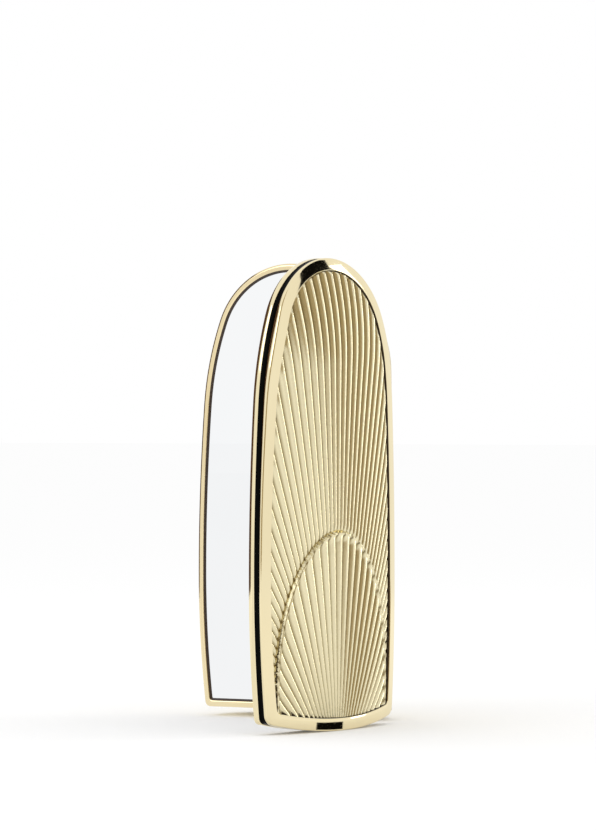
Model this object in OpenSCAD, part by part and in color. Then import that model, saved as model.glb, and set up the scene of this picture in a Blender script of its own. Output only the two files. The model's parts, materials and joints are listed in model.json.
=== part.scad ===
// Hinged lipstick case with an arched outline: a deep rear housing that holds a
// slim refill, and a domed front lid that opens like a book on an upright hinge.
// The origin is the middle of the refill's foot. +X is towards the hinge, +Y is
// towards the back of the housing and +Z is up.

/* [Outline] */
// Width of the housing and of the lid at their widest
case_w = 37; // [36:0.5:39]
// Height of the housing from its sill to its crown
case_h = 79.2; // [76:0.2:84]
// Height of the sill above the surface that the case stands on
sill_h = 1.6; // [1.6:0.1:2.4]
// Radius of the crown
crown_r = 15; // [14.5:0.1:15.5]
// Depth below the crown at which the outline is widest
belly_drop = 55; // [50:1:58]

/* [Housing] */
// Depth of the housing at its centre line
housing_depth = 16.8; // [16.8:0.1:18]
// Depth of the housing's straight edge wall
housing_edge = 3.2; // [3:0.1:4]
// Wall of the rear shell
shell_wall = 1.0; // [0.8:0.1:1]
// Width of the frame round the housing mirror
frame_band = 1.85; // [1.6:0.05:2.4]
// Depth of the mirror's face below the frame's face
mirror_recess = 0.4; // [0.3:0.05:0.6]

/* [Lid] */
// Angle of the lid from closed, in the pose that is drawn
lid_open = 78.5; // [0:0.5:130]
// Depth of the lid's straight edge wall
lid_edge = 2.7; // [2.5:0.1:3.2]
// Radius of the lid's domed face
lid_dome_r = 60; // [50:1:90]
// Width of the polished bezel
bezel_band = 2.1; // [1.8:0.1:2.6]
// Rise of the lid's curved lower edge from its middle to its corners
lid_sag = 2.2; // [1.5:0.1:2.6]
// Gap between the lid and the housing when closed
seam_gap = 0.3; // [0.2:0.05:0.4]

/* [Hinge] */
// Radius of the hinge knuckles
knuckle_r = 1.1; // [1:0.05:1.2]
// Radius of the hinge pin
pin_r = 0.45; // [0.4:0.05:0.5]
// Height of the lowest knuckle above the standing surface
hinge_z = 13.5; // [12:0.5:16]
// Length of the lid's knuckle
lid_knuckle_len = 12; // [8:1:14]
// Length of each knuckle on the housing
frame_knuckle_len = 6; // [4:1:7]

/* [Refill] */
// Radius of the lipstick stick
stick_r = 4.35; // [4.2:0.05:4.4]
// Height that the stick rises when the foot is twisted
stick_travel = 16; // [10:1:16]
// Outer radius of the refill
refill_r = 6.2; // [6.2:0.05:6.25]
// Radius of the refill's foot
foot_r = 7.6; // [7:0.1:7.8]

/* [Hidden] */
$fn = 96;
eps = 0.01;

// Planes, counted along Y from the refill's axis
seam_y = -9;
back_y = seam_y + housing_depth;
frame_t = 1.8;
frame_back_y = seam_y + frame_t;
lid_y = seam_y - seam_gap;
pan_t = 1.25;
band_t = 1.1;
band_y = lid_y - pan_t;
bezel_y = band_y - band_t;
plate_t = 1;
plate_recess = 0.15;
plate_gap = 0.02;
band_inset = 0.12;
band_w = 1.48;
pocket_t = 0.4;
glass_t = 0.7;
glass_gap = 0.05;
frame_sill = 0.15;
sill_t = 1.2;

// Magnets at the free edge
magnet_w = 1.6;
magnet_h = 8;
magnet_z = 38;
housing_magnet_x = -16.9;
housing_magnet_t = 1.2;
lid_magnet_x = -15.8;
lid_magnet_t = 1;

// The outline: a crown arc, two shoulder arcs and two long arcs on each side
half_w = case_w / 2;
top_z = sill_h + case_h;
belly_z = top_z - belly_drop;
shoulder_drop = 25;
upper_r = 400;
lower_r = 200;
crown_z = top_z - crown_r;
upper_angle = asin((belly_drop - shoulder_drop) / upper_r);
upper_end = [half_w - upper_r * (1 - cos(upper_angle)), top_z - shoulder_drop];
outward = [cos(upper_angle), sin(upper_angle)];
to_end = upper_end - [0, crown_z];
shoulder_r = (to_end * to_end - crown_r * crown_r) / (2 * (to_end * outward) - 2 * crown_r);
shoulder_c = upper_end - shoulder_r * outward;
crown_angle = atan2(crown_z - shoulder_c[1], -shoulder_c[0]);

// Domes: an upright cylinder that ends in a sphere under the crown
dome_top_z = top_z - half_w;
housing_rise = housing_depth - housing_edge;
housing_dome_r = (half_w * half_w + housing_rise * housing_rise) / (2 * housing_rise);
lid_rise = lid_dome_r - sqrt(lid_dome_r * lid_dome_r - half_w * half_w);
lid_front_y = lid_y - lid_edge - lid_rise;

// The lid's curved lower edge
lid_low_z = 0.02;
lid_foot_r = (half_w * half_w + lid_sag * lid_sag) / (2 * lid_sag);

// Hinge
hinge_x = half_w;
hinge_y = seam_y - seam_gap / 2;
knuckle_gap = 0.1;
relief_r = knuckle_r + 0.15;
lid_knuckle_z = hinge_z + frame_knuckle_len;
upper_knuckle_z = lid_knuckle_z + lid_knuckle_len;
hinge_top_z = upper_knuckle_z + frame_knuckle_len;

// Refill, from the outside in
run = 0.1;
sleeve_in_r = refill_r + 0.15;
sleeve_out_r = sleeve_in_r + 0.4;
sleeve_top_z = 61.2;
sleeve_cap_t = 0.8;
ring_h = 1.4;
ring_in_r = refill_r + 0.08;
mouth_gap = 0.02;
spiral_out_r = refill_r - 0.45;
spiral_in_r = spiral_out_r - 0.4;
slot_out_r = spiral_in_r - run;
slot_in_r = slot_out_r - 0.4;
cup_out_r = slot_in_r - run;
foot_t = 1.4;
weight_h = 4;
base_top_z = 8;
cartridge_top_z = 33;
spiral_drop = 0.5;
slot_top_z = 44;
slot_w = 1.6;
slot_end = 1.2;
cup_z = 12;
cup_h = 8;
cup_floor = 1;
stick_fit = 0.02;
stick_top_z = 43;
tip_angle = 50;
lift_pin_r = 0.6;
lift_pin_z = cup_z + 2;
pin_root = 0.2;

function arc(c, r, a, b, n) = [for (i = [0:n])
    c + r * [cos(a + (b - a) * i / n), sin(a + (b - a) * i / n)]];

// Right half of the outline, set in by a margin, from the given lowest height
function right_side(inset, low_z) = concat(
    arc([half_w - lower_r, belly_z], lower_r - inset,
        -asin((belly_z - low_z) / (lower_r - inset)), 0, 5),
    arc([half_w - upper_r, belly_z], upper_r - inset, 0, upper_angle, 5),
    arc(shoulder_c, shoulder_r - inset, upper_angle, crown_angle, 8),
    arc([0, crown_z], crown_r - inset, crown_angle, 90, 14));

module arch(inset, low_z) {
    side = right_side(inset, low_z);
    last = len(side) - 1;
    polygon(concat(side, [for (i = [last - 1:-1:0]) [-side[i][0], side[i][1]]]));
}

// The outline as a slab between two planes along Y
module slab(y0, y1, inset = 0, low_z = sill_h) {
    translate([0, y1, 0]) rotate([90, 0, 0]) linear_extrude(y1 - y0) arch(inset, low_z);
}

// The same for the lid, whose lower edge is an arc
module lid_slab(y0, y1, inset = 0) {
    translate([0, y1, 0]) rotate([90, 0, 0]) linear_extrude(y1 - y0) intersection() {
        arch(inset, -1);
        translate([0, lid_low_z + lid_foot_r]) circle(lid_foot_r - inset, $fn = 240);
    }
}

// An upright capsule whose axis stands at height y along Y
module dome(y, r) {
    translate([0, y, -5]) cylinder(h = dome_top_z + 5, r = r, $fn = 144);
    translate([0, y, dome_top_z]) sphere(r, $fn = 144);
}

module tube(z0, z1, r_out, r_in) {
    translate([0, 0, z0]) difference() {
        cylinder(h = z1 - z0, r = r_out);
        translate([0, 0, -eps]) cylinder(h = z1 - z0 + 2 * eps, r = r_in);
    }
}

module hinge_rod(z0, z1, r) {
    translate([hinge_x, hinge_y, z0]) cylinder(h = z1 - z0, r = r, $fn = 48);
}

// Turns the lid about the hinge from closed to the drawn pose
module swing() {
    translate([hinge_x, hinge_y, 0]) rotate([0, 0, lid_open])
        translate([-hinge_x, -hinge_y, 0]) children();
}

module rear_shell() color("#d9bf73") difference() {
    intersection() {
        slab(frame_back_y, back_y);
        dome(back_y - housing_dome_r, housing_dome_r);
    }
    intersection() {
        slab(frame_back_y - eps, back_y, shell_wall, sill_h + sill_t);
        dome(back_y - housing_dome_r, housing_dome_r - shell_wall);
    }
    translate([0, 0, sill_h - eps]) cylinder(h = sill_t + 2 * eps, r = sleeve_out_r + mouth_gap);
}

module front_frame() color("#e3cb85") difference() {
    union() {
        difference() {
            slab(seam_y, frame_back_y);
            slab(seam_y - eps, frame_back_y + eps, frame_band,
                sill_h + frame_band + frame_sill);
        }
        hinge_rod(hinge_z, lid_knuckle_z, knuckle_r);
        hinge_rod(upper_knuckle_z, hinge_top_z, knuckle_r);
    }
    hinge_rod(lid_knuckle_z - eps, upper_knuckle_z + eps, relief_r);
    hinge_rod(hinge_z - eps, hinge_top_z + eps, pin_r);
}

module mirror_slab(y0, y1) {
    slab(y0, y1, frame_band + glass_gap, sill_h + frame_band + frame_sill + glass_gap);
}

module housing_mirror() color("#dfe3e6")
    mirror_slab(seam_y + mirror_recess, seam_y + mirror_recess + glass_t);

module mirror_backing() color("#3a3a3c")
    mirror_slab(seam_y + mirror_recess + glass_t, frame_back_y);

module refill_sleeve() color("#cfcfcf") {
    tube(sill_h + ring_h, sleeve_top_z - sleeve_cap_t, sleeve_out_r, sleeve_in_r);
    translate([0, 0, sleeve_top_z - sleeve_cap_t]) cylinder(h = sleeve_cap_t, r = sleeve_out_r);
}

module retaining_ring() color("#f2efe6")
    tube(sill_h, sill_h + ring_h, sleeve_out_r, ring_in_r);

module hinge_pin() color("#c9c9c9")
    hinge_rod(hinge_z, hinge_top_z, pin_r);

module housing_magnet() color("#8c8c90")
    translate([housing_magnet_x, frame_back_y, magnet_z]) cube([magnet_w, housing_magnet_t, magnet_h]);

module lid_pan() color("#e3cb85") swing() difference() {
    union() {
        difference() {
            lid_slab(band_y, lid_y);
            lid_slab(lid_y - pocket_t, lid_y + eps, bezel_band);
        }
        hinge_rod(lid_knuckle_z + knuckle_gap, upper_knuckle_z - knuckle_gap, knuckle_r);
    }
    hinge_rod(hinge_z - knuckle_gap, lid_knuckle_z + knuckle_gap, relief_r);
    hinge_rod(upper_knuckle_z - knuckle_gap, hinge_top_z + knuckle_gap, relief_r);
    hinge_rod(lid_knuckle_z, upper_knuckle_z, pin_r + 0.05);
}

module lid_mirror() color("#dfe3e6") swing()
    lid_slab(lid_y - pocket_t, lid_y - glass_gap, bezel_band + glass_gap);

module lid_band() color("#17150f") swing() difference() {
    lid_slab(bezel_y, band_y, band_inset);
    lid_slab(bezel_y - eps, band_y + eps, band_inset + band_w);
    hinge_rod(hinge_z - knuckle_gap, hinge_top_z + knuckle_gap, relief_r);
}

module lid_bezel() color("#e9d48c") swing() difference() {
    intersection() {
        lid_slab(lid_front_y - eps, bezel_y);
        dome(lid_front_y + lid_dome_r, lid_dome_r);
    }
    lid_slab(lid_front_y - 1, bezel_y + eps, bezel_band);
}

module fan_plate() color("#d8c98a") swing() difference() {
    intersection() {
        lid_slab(lid_front_y - eps, bezel_y, bezel_band + plate_gap);
        dome(lid_front_y + lid_dome_r, lid_dome_r - plate_recess);
    }
    dome(lid_front_y + lid_dome_r, lid_dome_r - plate_recess - plate_t);
}

module lid_magnet() color("#8c8c90") swing()
    translate([lid_magnet_x, band_y - lid_magnet_t, magnet_z]) cube([magnet_w, lid_magnet_t, magnet_h]);

module cartridge_shell() color("#d8bd6c")
    tube(base_top_z + run, cartridge_top_z, refill_r, spiral_out_r);

module spiral_sleeve() color("#b9b9bd")
    tube(base_top_z + run, cartridge_top_z - spiral_drop, spiral_out_r, spiral_in_r);

module refill_base() color("#e3cb85") difference() {
    union() {
        cylinder(h = foot_t, r = foot_r);
        cylinder(h = base_top_z, r = refill_r);
    }
    translate([0, 0, foot_t]) cylinder(h = base_top_z, r = slot_out_r);
}

module base_weight() color("#9a9a9e")
    translate([0, 0, foot_t]) cylinder(h = weight_h, r = slot_in_r);

module slotted_tube() color("#c8ccd0") difference() {
    tube(foot_t, slot_top_z, slot_out_r, slot_in_r);
    for (side = [0, 180])
        rotate([0, 0, side]) translate([0, -slot_w / 2, lift_pin_z - slot_end])
            cube([foot_r, slot_w, stick_travel + 2 * slot_end]);
}

module carrier_cup() color("#f0ede4") {
    difference() {
        translate([0, 0, cup_z]) cylinder(h = cup_h, r = cup_out_r);
        translate([0, 0, cup_z + cup_floor]) cylinder(h = cup_h, r = stick_r + stick_fit);
    }
    for (side = [0, 180])
        rotate([0, 0, side]) translate([cup_out_r - pin_root, 0, lift_pin_z]) rotate([0, 90, 0])
            cylinder(h = slot_out_r - cup_out_r + pin_root, r = lift_pin_r, $fn = 32);
}

// The stick, with its slanted tip
module lipstick_bullet() color("#8e1f2c") difference() {
    translate([0, 0, cup_z + cup_floor]) cylinder(h = stick_top_z - cup_z - cup_floor, r = stick_r);
    translate([0, -stick_r, stick_top_z]) rotate([-tip_angle, 0, 0])
        translate([-stick_r - 1, 0, 0]) cube([2 * stick_r + 2, 5 * stick_r, 3 * stick_r]);
}

rear_shell();
front_frame();
housing_mirror();
mirror_backing();
refill_sleeve();
retaining_ring();
hinge_pin();
housing_magnet();
lid_pan();
lid_mirror();
lid_band();
lid_bezel();
fan_plate();
lid_magnet();
cartridge_shell();
spiral_sleeve();
refill_base();
base_weight();
slotted_tube();
carrier_cup();
lipstick_bullet();
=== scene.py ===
"""Visual model of an arched lipstick case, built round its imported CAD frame."""
import json
import math

import bmesh
import bpy
import numpy as np
from mathutils import Matrix, Vector


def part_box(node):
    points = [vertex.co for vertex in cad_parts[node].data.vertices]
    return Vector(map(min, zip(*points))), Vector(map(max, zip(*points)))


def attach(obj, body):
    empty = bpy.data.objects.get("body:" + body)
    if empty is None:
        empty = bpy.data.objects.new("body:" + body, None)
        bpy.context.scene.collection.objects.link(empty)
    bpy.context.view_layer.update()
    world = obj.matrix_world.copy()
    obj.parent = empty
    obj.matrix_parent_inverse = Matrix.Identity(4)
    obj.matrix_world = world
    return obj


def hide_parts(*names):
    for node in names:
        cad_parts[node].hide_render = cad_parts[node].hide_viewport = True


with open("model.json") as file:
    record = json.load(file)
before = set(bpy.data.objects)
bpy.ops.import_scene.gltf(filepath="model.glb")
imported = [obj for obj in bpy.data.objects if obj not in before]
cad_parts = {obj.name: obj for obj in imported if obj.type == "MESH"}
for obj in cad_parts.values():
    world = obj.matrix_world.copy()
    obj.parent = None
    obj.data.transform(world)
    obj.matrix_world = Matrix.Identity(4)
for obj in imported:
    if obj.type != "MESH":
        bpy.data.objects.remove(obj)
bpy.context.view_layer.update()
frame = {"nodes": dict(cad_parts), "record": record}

MM = 0.001

# ---------------------------------------------------------------- places from the frame
shell_lo, shell_hi = [np.array(c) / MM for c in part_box("rear_shell")]
pin_lo, pin_hi = [np.array(c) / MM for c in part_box("hinge_pin")]
hinge = next(j for j in frame["record"]["behaviour"]["joints"] if j["name"] == "lid_hinge")
HINGE = np.array(hinge["pos_m"]) / MM
LID_OPEN = -hinge["range_deg"][0]

HALF_W = -shell_lo[0]
SILL_Z = shell_lo[2]
TOP_Z = shell_hi[2]
BACK_Y = shell_hi[1]
SEAM_Y = -9.0
FRAME_BACK_Y = shell_lo[1]
LID_Y = 2 * HINGE[1] - SEAM_Y

# The outline's arcs, as the frame has them
CROWN_R = 15.0
BELLY_DROP = 55.0
BELLY_Z = TOP_Z - BELLY_DROP
SHOULDER_DROP = 25.0
UPPER_R = 400.0
LOWER_R = 200.0
CROWN_Z = TOP_Z - CROWN_R
UPPER_ANGLE = math.asin((BELLY_DROP - SHOULDER_DROP) / UPPER_R)
upper_end = np.array([HALF_W - UPPER_R * (1 - math.cos(UPPER_ANGLE)), TOP_Z - SHOULDER_DROP])
outward = np.array([math.cos(UPPER_ANGLE), math.sin(UPPER_ANGLE)])
to_end = upper_end - np.array([0, CROWN_Z])
SHOULDER_R = (to_end @ to_end - CROWN_R ** 2) / (2 * (to_end @ outward) - 2 * CROWN_R)
SHOULDER_C = upper_end - SHOULDER_R * outward
CROWN_ANGLE = math.atan2(CROWN_Z - SHOULDER_C[1], -SHOULDER_C[0])

# Lid
LID_LOW_Z = 0.02
LID_SAG = 2.2
LID_FOOT_R = (HALF_W ** 2 + LID_SAG ** 2) / (2 * LID_SAG)
LID_EDGE = 2.7
LID_DOME_R = 60.0
PAN_T = 1.25
BAND_T = 1.1
BAND_Y = LID_Y - PAN_T
BEZEL_Y = BAND_Y - BAND_T
BAND_IN = 1.6
BEZEL_W = 2.1
POCKET_T = 0.4
DOME_TOP_Z = TOP_Z - HALF_W
LID_FRONT_Y = LID_Y - LID_EDGE - (LID_DOME_R - math.sqrt(LID_DOME_R ** 2 - HALF_W ** 2))

# Housing
FRAME_W = 1.85
MIRROR_Y = SEAM_Y + 0.4
GLASS_T = 0.7
HOUSING_EDGE = 3.2
SHELL_RISE = BACK_Y - SEAM_Y - HOUSING_EDGE
SHELL_R = (HALF_W ** 2 + SHELL_RISE ** 2) / (2 * SHELL_RISE)
SLEEVE_R = 6.78

# Hinge: a housing knuckle at each end of the pin and the lid's knuckle between them
KNUCKLE_R = 1.1
RELIEF_R = KNUCKLE_R + 0.15
FRAME_KNUCKLE = 6.0
RELIEF_GAP = 0.1


# ---------------------------------------------------------------- outline
def side_x(z, inset):
    """Half width of the outline at height z, below the crown arc's start."""
    radius = LOWER_R if z < BELLY_Z else UPPER_R
    return HALF_W - radius + math.sqrt((radius - inset) ** 2 - (z - BELLY_Z) ** 2)


def half_width(z, inset=0.0):
    """Half width of the outline at any height."""
    if z <= TOP_Z - SHOULDER_DROP:
        return side_x(z, inset)
    shoulder = max(SHOULDER_R - inset, 0) ** 2 - (z - SHOULDER_C[1]) ** 2
    crown = (CROWN_R - inset) ** 2 - (z - CROWN_Z) ** 2
    join_z = CROWN_Z + (CROWN_R - inset) * math.sin(CROWN_ANGLE)
    if z < join_z:
        return SHOULDER_C[0] + math.sqrt(max(shoulder, 0))
    return math.sqrt(max(crown, 0))


def lid_bottom(x, inset):
    return LID_LOW_Z + LID_FOOT_R - math.sqrt((LID_FOOT_R - inset) ** 2 - x * x)


CORNER_STEPS = 8


def outline(inset, lid=False, corner=1.0, count=18):
    """Closed loop of (x, z) points, the same number at every inset, from the middle of the sill."""
    def bottom(x):
        return lid_bottom(x, inset) if lid else SILL_Z + inset
    corner_x = HALF_W - inset
    for _ in range(12):
        corner_x = side_x(bottom(corner_x), inset)
    corner_z = bottom(corner_x)
    soft = max(corner - 0.35 * inset, 0.25)
    sill = [(corner_x - soft) * i / count for i in range(count)]
    half = [np.array([x, bottom(x)]) for x in sill]
    start = np.array([corner_x - soft, bottom(corner_x - soft)])
    middle = np.array([corner_x, corner_z])
    end = np.array([side_x(corner_z + soft, inset), corner_z + soft])
    for i in range(CORNER_STEPS):
        t = i / CORNER_STEPS
        half.append((1 - t) ** 2 * start + 2 * t * (1 - t) * middle + t * t * end)
    for i in range(count):
        z = end[1] + (BELLY_Z - end[1]) * i / count
        half.append(np.array([side_x(z, inset), z]))
    arcs = [((HALF_W - UPPER_R, BELLY_Z), UPPER_R, 0, UPPER_ANGLE, count),
            (SHOULDER_C, SHOULDER_R, UPPER_ANGLE, CROWN_ANGLE, count),
            ((0, CROWN_Z), CROWN_R, CROWN_ANGLE, math.pi / 2, 2 * count)]
    for centre, radius, a, b, n in arcs:
        for i in range(n):
            angle = a + (b - a) * i / n
            half.append(np.array(centre) + (radius - inset) * np.array([math.cos(angle), math.sin(angle)]))
    top = np.array([0, CROWN_Z + CROWN_R - inset])
    left = [np.array([-p[0], p[1]]) for p in reversed(half[1:])]
    return np.array(half + [top] + left)


def dome_radius(x, z):
    return math.hypot(x, max(z - DOME_TOP_Z, 0))


def lid_dome(x, z):
    """Y of the closed lid's domed face."""
    return LID_FRONT_Y + LID_DOME_R - math.sqrt(LID_DOME_R ** 2 - dome_radius(x, z) ** 2)


def shell_dome(x, z):
    """Y of the rear shell's rounded back."""
    return BACK_Y - SHELL_R + math.sqrt(max(SHELL_R ** 2 - dome_radius(x, z) ** 2, 0))


# ---------------------------------------------------------------- mesh helpers
SWING = (Matrix.Translation(Vector(HINGE)) @ Matrix.Rotation(math.radians(LID_OPEN), 4, "Z")
         @ Matrix.Translation(-Vector(HINGE)))


def make(name, verts, faces, body, node, material, sharp=32.0, shadow_faces=()):
    """A finished piece from points in millimetres, given with the lid closed. Shadow faces get a dark brown
    material, painted shade.
    """
    mesh = bpy.data.meshes.new(name)
    points = [Vector(v) for v in verts]
    if body == "lid":
        points = [SWING @ p for p in points]
    mesh.from_pydata([p * MM for p in points], [], faces)
    mesh.validate()
    piece = bpy.data.objects.new(name, mesh)
    bpy.context.collection.objects.link(piece)
    bm = bmesh.new()
    bm.from_mesh(mesh)
    bmesh.ops.recalc_face_normals(bm, faces=bm.faces)
    bm.to_mesh(mesh)
    bm.free()
    mesh.shade_smooth()
    mesh.set_sharp_from_angle(angle=math.radians(sharp))
    mesh.materials.append(material)
    if shadow_faces:
        mesh.materials.append(painted_groove_shade)
        for face in shadow_faces:
            mesh.polygons[face].material_index = 1
    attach(piece, body)
    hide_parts(node)
    return piece


def loft(loops, closed):
    """Quads between matching loops; closed joins the last loop to the first, else both ends are capped."""
    count = len(loops[0])
    verts = [tuple(p) for loop in loops for p in loop]
    faces = []
    for i in range(len(loops) if closed else len(loops) - 1):
        a = i * count
        b = (i + 1) % len(loops) * count
        for j in range(count):
            k = (j + 1) % count
            faces.append((a + j, a + k, b + k, b + j))
    if not closed:
        faces.append(tuple(range(count)))
        faces.append(tuple(range(len(verts) - count, len(verts))))
    return verts, faces


def rows_between(faces, profile, first, last):
    """Indices of a closed loft's faces between two points of its profile."""
    count = len(faces) // len(profile)
    return range(first * count, last * count)


def section_loop(inset, depth, lid=False, corner=1.0):
    """The outline at an inset, at a fixed Y or at a Y that depends on the place."""
    return [(x, depth(x, z) if callable(depth) else depth, z) for x, z in outline(inset, lid, corner)]


def add_lathe(verts, faces, profile, centre, count=64, ripple=None):
    """Adds a capped turned shape about an upright axis, from (radius, z) pairs."""
    loops = []
    for i, (radius, z) in enumerate(profile):
        loop = []
        for j in range(count):
            angle = 2 * math.pi * j / count
            r = radius + (ripple(i, j) if ripple else 0)
            loop.append((centre[0] + r * math.cos(angle), centre[1] + r * math.sin(angle), z))
        loops.append(loop)
    more, quads = loft(loops, closed=False)
    start = len(verts)
    return verts + more, faces + [tuple(start + k for k in q) for q in quads]


def barrel(z0, z1, radius=KNUCKLE_R, bevel=0.12):
    """Profile of a knuckle with bevelled ends."""
    return [(radius - bevel, z0), (radius, z0 + bevel), (radius, z1 - bevel), (radius - bevel, z1)]


def carve(piece, z0, z1):
    """Cuts room for a knuckle, about the hinge line, out of a piece."""
    verts, faces = add_lathe([], [], [(RELIEF_R, z0), (RELIEF_R, z1)], HINGE, 48)
    mesh = bpy.data.meshes.new("relief")
    mesh.from_pydata([Vector(v) * MM for v in verts], [], faces)
    cutter = bpy.data.objects.new("relief", mesh)
    bpy.context.collection.objects.link(cutter)
    cut = piece.modifiers.new("relief", "BOOLEAN")
    cut.operation = "DIFFERENCE"
    cut.object = cutter
    graph = bpy.context.evaluated_depsgraph_get()
    result = bpy.data.meshes.new_from_object(piece.evaluated_get(graph))
    piece.modifiers.remove(cut)
    piece.data = result
    bpy.data.objects.remove(cutter)


# ---------------------------------------------------------------- materials
def new_material(name):
    material = bpy.data.materials.new(name)
    material.use_nodes = True
    nodes = material.node_tree.nodes
    return material, nodes, material.node_tree.links, nodes["Principled BSDF"]


def noise(nodes, links, scale, detail=3.0, stretch=None):
    coord = nodes.new("ShaderNodeTexCoord")
    texture = nodes.new("ShaderNodeTexNoise")
    texture.inputs["Scale"].default_value = scale
    texture.inputs["Detail"].default_value = detail
    source = coord.outputs["Object"]
    if stretch:
        mapping = nodes.new("ShaderNodeMapping")
        mapping.inputs["Scale"].default_value = stretch
        links.new(source, mapping.inputs["Vector"])
        source = mapping.outputs["Vector"]
    links.new(source, texture.inputs["Vector"])
    return texture.outputs["Fac"]


def ramp(nodes, links, source, low, high):
    node = nodes.new("ShaderNodeMapRange")
    node.inputs["To Min"].default_value = low
    node.inputs["To Max"].default_value = high
    links.new(source, node.inputs["Value"])
    return node.outputs["Result"]


def colour_mix(nodes, links, factor, one, two):
    node = nodes.new("ShaderNodeMix")
    node.data_type = "RGBA"
    node.inputs["A"].default_value = (*one, 1)
    node.inputs["B"].default_value = (*two, 1)
    links.new(factor, node.inputs["Factor"])
    return node.outputs["Result"]


def bump(nodes, links, shader, source, strength, distance):
    node = nodes.new("ShaderNodeBump")
    node.inputs["Strength"].default_value = strength
    node.inputs["Distance"].default_value = distance
    links.new(source, node.inputs["Height"])
    links.new(node.outputs["Normal"], shader.inputs["Normal"])


def metal(name, one, two, rough, stretch=None, grain=900.0, relief=0.05):
    """Plated metal: a slow drift of tone, fine polishing marks and uneven gloss."""
    material, nodes, links, shader = new_material(name)
    shader.inputs["Metallic"].default_value = 1.0
    drift = noise(nodes, links, 55.0, 2.0)
    links.new(colour_mix(nodes, links, drift, one, two), shader.inputs["Base Color"])
    marks = noise(nodes, links, grain, 4.0, stretch)
    links.new(ramp(nodes, links, marks, *rough), shader.inputs["Roughness"])
    bump(nodes, links, shader, marks, relief, 0.00002)
    return material


def plain(name, one, two, rough, grain=700.0, relief=0.1):
    """Moulded plastic or wax: slight mottling, and a fine surface."""
    material, nodes, links, shader = new_material(name)
    mottle = noise(nodes, links, 180.0, 3.0)
    links.new(colour_mix(nodes, links, mottle, one, two), shader.inputs["Base Color"])
    fine = noise(nodes, links, grain, 5.0)
    links.new(ramp(nodes, links, fine, *rough), shader.inputs["Roughness"])
    bump(nodes, links, shader, fine, relief, 0.00004)
    return material


GOLD_A = (0.89, 0.785, 0.52)
GOLD_B = (0.84, 0.725, 0.455)
polished = metal("polished_gold", GOLD_A, GOLD_B, (0.03, 0.09))
frame_gold = metal("frame_gold", GOLD_A, (0.78, 0.62, 0.35), (0.05, 0.12))
fan_gold = metal("fan_gold", (0.83, 0.75, 0.50), (0.78, 0.70, 0.46), (0.16, 0.28), relief=0.1)
shell_gold = metal("shell_gold", GOLD_A, GOLD_B, (0.28, 0.4))
refill_gold = metal("refill_gold", (0.84, 0.70, 0.41), (0.78, 0.63, 0.36), (0.14, 0.28), (1, 1, 8))
steel = metal("steel", (0.62, 0.62, 0.64), (0.5, 0.5, 0.52), (0.18, 0.32), (1, 1, 10))
nickel = metal("nickel", (0.55, 0.55, 0.56), (0.46, 0.46, 0.47), (0.2, 0.35))
tube_metal = metal("tube_metal", (0.78, 0.79, 0.8), (0.7, 0.71, 0.72), (0.16, 0.28), (1, 1, 12))
silvered = metal("silvered_glass", (0.93, 0.94, 0.95), (0.91, 0.92, 0.93), (0.0, 0.015), relief=0.0)
# Dark brown for the inner faces of the frame and bezel grooves: painted shade, where those grooves fall into
# shade.
painted_groove_shade = plain("painted_groove_shade", (0.045, 0.024, 0.012), (0.03, 0.016, 0.008), (0.25, 0.4))
# Near black with almost no specular, for the band between lid pan and bezel: painted shade of the parting
# gap.
black_gap_shade = plain("black_gap_shade", (0.001, 0.001, 0.001), (0.003, 0.003, 0.002), (0.2, 0.3), relief=0.03)
black_gap_shade.node_tree.nodes["Principled BSDF"].inputs["Specular IOR Level"].default_value = 0.02
backing = plain("backing", (0.02, 0.02, 0.02), (0.035, 0.035, 0.035), (0.5, 0.7))
liner = plain("liner", (0.55, 0.55, 0.55), (0.48, 0.48, 0.48), (0.4, 0.55))
ivory = plain("ivory", (0.82, 0.79, 0.70), (0.76, 0.73, 0.64), (0.35, 0.5))
wax = plain("stick_wax", (0.27, 0.012, 0.025), (0.20, 0.008, 0.018), (0.3, 0.45), grain=400.0)


def paint_valley_shade(material, tone):
    """Paints shade into the valleys between pleats, mixing in a darker tone by the mesh attribute crest."""
    nodes = material.node_tree.nodes
    links = material.node_tree.links
    base_colour = nodes["Principled BSDF"].inputs["Base Color"]
    height = nodes.new("ShaderNodeAttribute")
    height.attribute_name = "crest"
    valley = nodes.new("ShaderNodeMapRange")
    valley.inputs["From Max"].default_value = 0.75
    valley.interpolation_type = "SMOOTHSTEP"
    links.new(height.outputs["Fac"], valley.inputs["Value"])
    shade = nodes.new("ShaderNodeMix")
    shade.data_type = "RGBA"
    shade.inputs["A"].default_value = (*tone, 1)
    links.new(valley.outputs["Result"], shade.inputs["Factor"])
    links.new(base_colour.links[0].from_socket, shade.inputs["B"])
    links.new(shade.outputs["Result"], base_colour)


# Painted shade: the pleat valleys are darkened in colour, standing in for the shade that falls between the
# pleats.
paint_valley_shade(fan_gold, (0.30, 0.235, 0.11))

for node, material in {"mirror_backing": backing, "refill_sleeve": liner, "retaining_ring": ivory,
                       "hinge_pin": steel, "housing_magnet": nickel, "lid_magnet": nickel,
                       "cartridge_shell": refill_gold, "spiral_sleeve": liner, "base_weight": steel,
                       "slotted_tube": tube_metal, "carrier_cup": ivory}.items():
    mesh = frame["nodes"][node].data
    mesh.materials.clear()
    mesh.materials.append(material)


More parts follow.
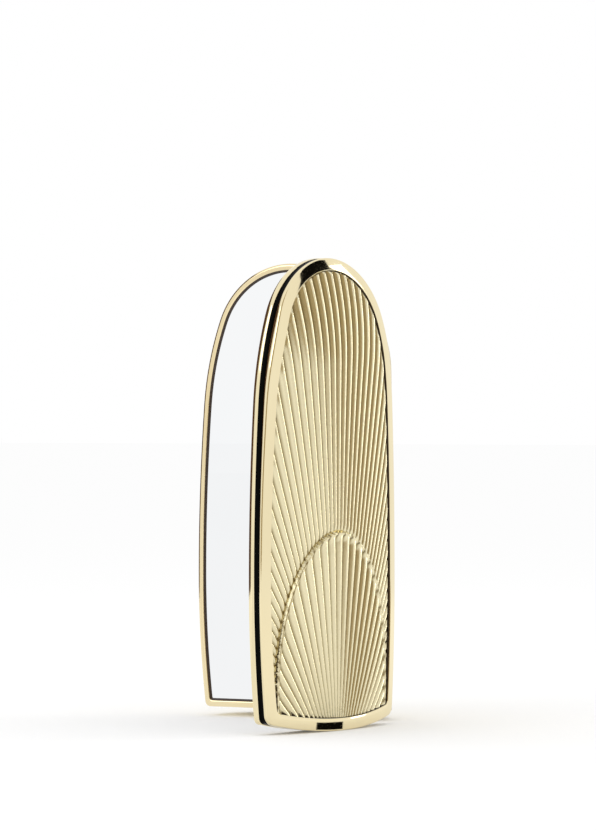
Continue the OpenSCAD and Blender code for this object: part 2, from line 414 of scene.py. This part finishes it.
# ---------------------------------------------------------------- housing
def front_frame():
    profile = [(0.0, FRAME_BACK_Y), (0.0, SEAM_Y + 0.5), (0.04, SEAM_Y + 0.3), (0.15, SEAM_Y + 0.13),
               (0.3, SEAM_Y + 0.03), (0.5, SEAM_Y), (0.95, SEAM_Y + 0.02), (1.1, SEAM_Y + 0.08),
               (1.6, SEAM_Y + 0.62), (FRAME_W, SEAM_Y + 0.7), (FRAME_W, FRAME_BACK_Y)]
    verts, faces = loft([section_loop(i, y) for i, y in profile], closed=True)
    # The frame's inner bevel, down to the mirror, is coloured dark brown: painted shade.
    piece = make("front_frame_skin", verts, faces, "housing", "front_frame", frame_gold,
                 shadow_faces=rows_between(faces, profile, 7, 10))
    low_end, high_end = pin_lo[2] + FRAME_KNUCKLE, pin_hi[2] - FRAME_KNUCKLE
    carve(piece, low_end - RELIEF_GAP, high_end + RELIEF_GAP)
    verts, faces = add_lathe([], [], barrel(pin_lo[2], low_end), HINGE)
    verts, faces = add_lathe(verts, faces, barrel(high_end, pin_hi[2]), HINGE)
    make("frame_knuckles", verts, faces, "housing", "front_frame", frame_gold)


def housing_mirror():
    y = MIRROR_Y
    edge = FRAME_W - 0.35
    profile = [(edge, y + GLASS_T), (edge, y + 0.03), (edge + 0.03, y)]
    loops = [section_loop(i, d, corner=0.5) for i, d in profile]
    verts, faces = loft(loops, closed=False)
    make("housing_mirror_glass", verts, faces, "housing", "housing_mirror", silvered, 8.0)


def rear_shell():
    rows, columns, sill_steps = 150, 90, 24
    width = columns + 1
    verts, faces = [], []
    for r in range(rows + 1):
        z = SILL_Z + (TOP_Z - SILL_Z) * math.sin(r / rows * math.pi / 2)
        half = half_width(min(z, TOP_Z - 1e-4))
        for c in range(width):
            x = -half * math.cos(math.pi * c / columns)
            verts.append((x, shell_dome(x, z), z))
    for r in range(rows):
        for c in range(columns):
            a = r * width + c
            faces.append((a, a + 1, a + width + 1, a + width))

    # The straight edge wall, from the rounded back to the frame
    side = ([r * width for r in range(rows, -1, -1)]
            + [r * width + columns for r in range(rows + 1)])
    start = len(verts)
    verts += [(verts[k][0], FRAME_BACK_Y, verts[k][2]) for k in side]
    for i in range(len(side) - 1):
        if (side[i], side[i + 1]) != (0, columns):
            faces.append((side[i], side[i + 1], start + i + 1, start + i))

    # The sill, with the round mouth that the refill goes in by
    left = start + side.index(0)
    right = start + side.index(columns)
    x0, x1 = verts[left][0], verts[right][0]
    front = range(len(verts), len(verts) + sill_steps - 1)
    verts += [(x0 + (x1 - x0) * i / sill_steps, FRAME_BACK_Y, SILL_Z) for i in range(1, sill_steps)]
    rim = [*range(columns, -1, -1), left, *front, right]
    mouth = len(verts)
    for k in rim:
        angle = math.atan2(verts[k][1], verts[k][0])
        verts.append((SLEEVE_R * math.cos(angle), SLEEVE_R * math.sin(angle), SILL_Z))
    for i in range(len(rim)):
        j = (i + 1) % len(rim)
        faces.append((rim[i], rim[j], mouth + j, mouth + i))
    piece = make("rear_shell_skin", verts, faces, "housing", "rear_shell", shell_gold, 40.0)
    wall = piece.modifiers.new("wall", "SOLIDIFY")
    wall.thickness = 0.7 * MM
    wall.offset = -1


# ---------------------------------------------------------------- lid
def lid_pan():
    y = LID_Y
    profile = [(BEZEL_W, y - POCKET_T), (BEZEL_W, y - 0.08), (BEZEL_W - 0.08, y), (0.22, y),
               (0.08, y - 0.05), (0.0, y - 0.18), (0.0, BAND_Y + 0.18), (0.06, BAND_Y + 0.06), (0.2, BAND_Y)]
    loops = [section_loop(i, d, lid=True) for i, d in profile]
    verts, faces = loft(loops, closed=False)
    piece = make("lid_pan_skin", verts, faces, "lid", "lid_pan", polished)
    low_end = pin_lo[2] + FRAME_KNUCKLE + RELIEF_GAP
    high_end = pin_hi[2] - FRAME_KNUCKLE - RELIEF_GAP
    carve(piece, pin_lo[2] - RELIEF_GAP, low_end)
    carve(piece, high_end, pin_hi[2] + RELIEF_GAP)
    verts, faces = add_lathe([], [], barrel(low_end, high_end), HINGE)
    make("lid_knuckle", verts, faces, "lid", "lid_pan", polished)


def lid_mirror():
    y = LID_Y
    edge = BEZEL_W + 0.02
    profile = [(edge, y - POCKET_T), (edge, y - 0.15), (BEZEL_W + 0.4, y - 0.05)]
    loops = [section_loop(i, d, lid=True) for i, d in profile]
    verts, faces = loft(loops, closed=False)
    make("lid_mirror_glass", verts, faces, "lid", "lid_mirror", silvered, 8.0)


def lid_band():
    # The band is coloured near black: painted shade of the gap between pan and bezel.
    profile = [(BAND_IN, BAND_Y), (0.1, BAND_Y), (0.16, BAND_Y - 0.2), (0.16, BEZEL_Y + 0.2),
               (0.1, BEZEL_Y), (BAND_IN, BEZEL_Y)]
    verts, faces = loft([section_loop(i, d, lid=True) for i, d in profile], closed=True)
    piece = make("lid_band_skin", verts, faces, "lid", "lid_band", black_gap_shade)
    carve(piece, pin_lo[2] - RELIEF_GAP, pin_hi[2] + RELIEF_GAP)


def lid_bezel():
    def face(offset):
        return lambda x, z: lid_dome(x, z) + offset
    profile = [(0.08, BEZEL_Y), (0.02, BEZEL_Y - 0.04), (0.0, BEZEL_Y - 0.1), (0.0, face(0.2)),
               (0.03, face(0.1)), (0.1, face(0.04)), (0.2, face(0.01)), (0.35, face(0)), (1.2, face(0)),
               (1.8, face(0)), (BEZEL_W - 0.1, face(0.02)), (BEZEL_W, face(0.12)), (BEZEL_W, BEZEL_Y)]
    verts, faces = loft([section_loop(i, d, lid=True, corner=1.6) for i, d in profile], closed=True)
    # The bezel's inner wall is coloured dark brown: painted shade.
    make("lid_bezel_skin", verts, faces, "lid", "lid_bezel", polished,
         shadow_faces=rows_between(faces, profile, 11, 12))


# The two fans: the height their pleats spread from, the pitch and how fast it widens
UPPER_FAN = (-3.0, math.radians(1.3), 1.6)
LOWER_FAN = (-10.0, math.radians(2.6), 0.8)
PLEAT_DEPTH = 0.8
PLEAT_SLOPE = 0.42
FAN_DEPTH = 1.0

# The arch that the lower fan fills
ARCH_HALF_W = 14.9
ARCH_BASE_Z = 8.0
ARCH_H = 25.9


def pleat(x, z, focus_z, step, spread):
    """Height of a fan's rounded pleats, which widen away from its middle, and of their crests."""
    angle = np.arctan2(x, z - focus_z)
    widen = 1 + spread * np.abs(angle)
    width = np.hypot(x, z - focus_z) * step * widen
    phase = np.sign(angle) * np.log(widen) / (spread * step)
    wave = np.abs(np.cos(np.pi * phase)) ** 0.85
    crest = np.minimum(PLEAT_SLOPE * width, PLEAT_DEPTH)
    return wave * crest, crest


def fan_relief(x, z):
    """Height of the plate's relief above its valleys, and how near each place is to a crest, 0 to 1."""
    rise = np.maximum(z - ARCH_BASE_Z, 0) / ARCH_H
    reach = np.sqrt((x / ARCH_HALF_W) ** 2 + rise ** 2)
    slope = np.sqrt((x / ARCH_HALF_W ** 2) ** 2 + (rise / ARCH_H) ** 2) / np.maximum(reach, 1e-6)
    gap = (reach - 1) / np.maximum(slope, 1e-4)
    upper, upper_top = pleat(x, z, *UPPER_FAN)
    lower, lower_top = pleat(x, z, *LOWER_FAN)
    crest = np.where(reach > 1, upper / np.maximum(upper_top, 1e-4), lower / np.maximum(lower_top, 1e-4))

    # Pleats run out at the arch's rim, which stands proud behind a fine groove
    fade_out = np.clip((gap - 0.15) / 0.9, 0, 1) ** 0.5
    fade_in = np.clip((-gap - 0.45) / 1.0, 0, 1) ** 0.5
    outside = upper * fade_out + upper_top * (1 - fade_out) * 0.45
    inside = lower * fade_in + lower_top * (1 - fade_in) * 0.9
    rim = 0.2 * np.exp(-((gap + 0.22) / 0.16) ** 2)
    groove = 0.22 * np.exp(-((gap - 0.1) / 0.09) ** 2)
    return np.where(gap > 0, outside, inside) + rim - groove, crest


def fan_plate():
    rows, columns = 430, 290
    width = columns + 1
    inset = BEZEL_W + 0.06
    top = TOP_Z - inset
    corner_x = half_width(3.0, inset)
    for _ in range(10):
        corner_x = side_x(lid_bottom(corner_x, inset), inset)
    corner_z = lid_bottom(corner_x, inset)
    verts, halves = [], []
    for r in range(rows + 1):
        lift = math.sin(r / rows * math.pi / 2)
        edge_z = corner_z + (top - corner_z) * lift
        half = half_width(min(edge_z, top - 1e-4), inset)
        for c in range(width):
            x = half * (2 * c / columns - 1)
            base = lid_bottom(x * corner_x / half if half > 1e-6 else 0, inset)
            z = edge_z - (corner_z - base) * (1 - lift) ** 2
            verts.append([x, 0.0, z])
            halves.append(half)
    points = np.array(verts)
    relief, crest = fan_relief(points[:, 0], points[:, 2])
    border = np.clip(np.minimum(halves - np.abs(points[:, 0]), top - points[:, 2]) / 0.6, 0, 1)
    relief = relief * (0.35 + 0.65 * border) + 0.3 * (1 - border)
    points[:, 1] = np.array([lid_dome(x, z) for x, _, z in verts]) + FAN_DEPTH - relief
    verts = [tuple(p) for p in points]
    faces = [(r * width + c, r * width + c + 1, (r + 1) * width + c + 1, (r + 1) * width + c)
             for r in range(rows) for c in range(columns)]

    # Side walls down to the band, and a flat back
    rim = (list(range(width)) + [r * width + columns for r in range(1, rows)]
           + list(range(rows * width + columns, rows * width - 1, -1))
           + [r * width for r in range(rows - 1, 0, -1)])
    start = len(verts)
    verts += [(verts[k][0], BEZEL_Y + 0.05, verts[k][2]) for k in rim]
    for i in range(len(rim)):
        j = (i + 1) % len(rim)
        faces.append((rim[i], rim[j], start + j, start + i))
    faces.append(tuple(range(start, start + len(rim))))
    piece = make("fan_plate_skin", verts, faces, "lid", "fan_plate", fan_gold, 60.0)
    # The crest attribute sets where fan_gold paints shade into the valleys.
    tone = piece.data.attributes.new("crest", "FLOAT", "POINT")
    tone.data.foreach_set("value", np.concatenate([crest, np.zeros(len(rim))]))


# ---------------------------------------------------------------- refill
def refill_base():
    flutes, samples = 60, 8
    edge, neck, bore = 7.58, 6.2, 5.26
    rim_top, neck_top = 1.4, 8.0
    profile = [(4.6, 0.35), (6.4, 0.3), (6.6, 0.0), (7.25, 0.0), (7.5, 0.12), (edge, 0.3), (edge, 1.1),
               (7.5, 1.28), (7.2, rim_top), (neck, rim_top), (neck, neck_top - 0.25),
               (neck - 0.2, neck_top), (bore, neck_top), (bore, 2.0)]

    def ripple(i, j):
        on_edge = profile[i][0] == edge
        return -0.1 * abs(math.sin(math.pi * j / samples)) if on_edge else 0
    verts, faces = add_lathe([], [], profile, (0, 0), flutes * samples, ripple)
    make("refill_foot", verts, faces, "foot", "refill_base", refill_gold, 30.0)


def lipstick():
    radius, low, high = 4.33, 13.02, 43.0
    count, levels = 72, 40
    slope = math.tan(math.radians(50))
    taper, taper_from = 0.1925, 0.8
    loops = []
    for level in range(levels + 1):
        t = level / levels
        r = radius * (1 - taper * (max(t - taper_from, 0) / (1 - taper_from)) ** 2)
        loop = []
        for j in range(count):
            angle = 2 * math.pi * j / count
            y = r * math.sin(angle)
            cut = high - 0.15 - 0.5 * slope * (y + radius)
            loop.append((r * math.cos(angle), y, low + (cut - low) * t))
        loops.append(loop)
    verts, faces = loft(loops, closed=False)
    make("lipstick_stick", verts, faces, "stick", "lipstick_bullet", wax, 35.0)


front_frame()
housing_mirror()
rear_shell()
lid_pan()
lid_mirror()
lid_band()
lid_bezel()
fan_plate()
refill_base()
lipstick()


# ---------------------------------------------------------------- camera, stage and light
CAMERA_TURN = 27.4
CAMERA_DISTANCE = 700.0
CAMERA_Z = 53.9
RIGHT_OF_AXIS = 14.76
turn = math.radians(CAMERA_TURN)
forward = Vector((-math.sin(turn), math.cos(turn), 0))
right = Vector((math.cos(turn), math.sin(turn), 0))
target = Vector((HINGE[0], HINGE[1], CAMERA_Z)) - RIGHT_OF_AXIS * right
MIDDLE = Vector((HINGE[0] - 12, HINGE[1], 42))

camera_data = bpy.data.cameras.new("camera")
camera_data.lens = 173.1
camera_data.clip_end = 20
camera = bpy.data.objects.new("camera", camera_data)
camera.location = (target - CAMERA_DISTANCE * forward) * MM
camera.rotation_euler = forward.to_track_quat("-Z", "Y").to_euler()
bpy.context.collection.objects.link(camera)
bpy.context.scene.camera = camera


def heading(bearing):
    """A level direction, at a bearing in degrees from the camera's side round to its right."""
    angle = math.radians(bearing)
    return math.sin(angle) * right - math.cos(angle) * forward


def panel(name, corners, material, hidden=False):
    """A flat stage panel from its four corners. A hidden one shows only in reflections."""
    mesh = bpy.data.meshes.new(name)
    mesh.from_pydata([Vector(c) * MM for c in corners], [], [(0, 1, 2, 3)])
    mesh.materials.append(material)
    piece = bpy.data.objects.new(name, mesh)
    bpy.context.collection.objects.link(piece)
    piece.visible_camera = not hidden
    if hidden:
        piece.visible_shadow = False
        piece.visible_diffuse = False
    return piece


def card(name, bearing, distance, width, height, material, up=0.0):
    """A hidden card that faces the case."""
    w, h = width / 2, height / 2
    centre = MIDDLE + distance * heading(bearing) + Vector((0, 0, up))
    piece = panel(name, [(-w, -h, 0), (w, -h, 0), (w, h, 0), (-w, h, 0)], material, hidden=True)
    piece.location = centre * MM
    piece.rotation_euler = (MIDDLE - centre).to_track_quat("Z", "Y").to_euler()


def area_light(name, side, toward, up, size, power):
    """A lamp aimed at the case, placed to the camera's right, towards the camera and up."""
    data = bpy.data.lights.new(name, "AREA")
    data.shape = "RECTANGLE"
    data.size, data.size_y = size[0] * MM, size[1] * MM
    data.energy = power
    lamp = bpy.data.objects.new(name, data)
    centre = MIDDLE + side * right - toward * forward + Vector((0, 0, up))
    lamp.location = centre * MM
    lamp.rotation_euler = (MIDDLE - centre).to_track_quat("-Z", "Y").to_euler()
    bpy.context.collection.objects.link(lamp)


def flat_material(name, colour, glow=0.0):
    """A matte stage material, which may glow white."""
    material, _, _, shader = new_material(name)
    shader.inputs["Base Color"].default_value = (*colour, 1)
    shader.inputs["Roughness"].default_value = 0.9
    shader.inputs["Specular IOR Level"].default_value = 0.0
    shader.inputs["Emission Color"].default_value = (1, 1, 1, 1)
    shader.inputs["Emission Strength"].default_value = glow
    return material


white = flat_material("white_paper", (0.9, 0.9, 0.9), glow=0.08)
pale = flat_material("pale_card", (0.0, 0.0, 0.0), glow=0.97)
dark = flat_material("black_card", (0.004, 0.004, 0.004))
tan = flat_material("tan_card", (0.42, 0.34, 0.21))
brown = flat_material("brown_card", (0.09, 0.05, 0.03))

FLOOR_HALF = 6000
FLOOR_Z = -0.02
panel("floor", [(-FLOOR_HALF, -FLOOR_HALF, FLOOR_Z), (FLOOR_HALF, -FLOOR_HALF, FLOOR_Z),
                (FLOOR_HALF, FLOOR_HALF, FLOOR_Z), (-FLOOR_HALF, FLOOR_HALF, FLOOR_Z)], white)

world = bpy.data.worlds.new("studio")
bpy.context.scene.world = world
world.use_nodes = True
background = world.node_tree.nodes["Background"]
background.inputs["Color"].default_value = (1, 1, 1, 1)
background.inputs["Strength"].default_value = 1.0
bpy.context.scene.view_settings.view_transform = "Standard"

area_light("key", -420, 300, 330, (300, 300), 0.4)
area_light("strip", 470, -160, 20, (70, 420), 0.45)
card("front_card", 14, 800, 1000, 2600, tan)
card("top_card", 95, 420, 140, 190, dark, up=250)
card("left_card", -117, 400, 560, 700, brown)

# A black wedge on the floor, for the middle of the lid's lower bezel to mirror
WEDGE_LEFT, WEDGE_RIGHT = (-6.5, 90), (0, 103)
WEDGE_NEAR, WEDGE_FAR = 1, 34
corners = []
for (x, bearing), reach in [(WEDGE_LEFT, WEDGE_NEAR), (WEDGE_RIGHT, WEDGE_NEAR),
                            (WEDGE_RIGHT, WEDGE_FAR), (WEDGE_LEFT, WEDGE_FAR)]:
    corners.append(SWING @ Vector((x, LID_FRONT_Y, 0)) + reach * heading(bearing))
panel("floor_wedge", corners, dark, hidden=True)

# A pale sheet on the floor, for the housing mirror to mirror, widening away from it
way = heading(-2 * CAMERA_TURN)
across = Vector((-way.y, way.x, 0))
near = Vector((0, MIRROR_Y - 1, 0))
far = near + 3000 * way
panel("mirror_sheet", [near - 20 * across, near + 20 * across, far + 400 * across, far - 400 * across],
      pale, hidden=True)
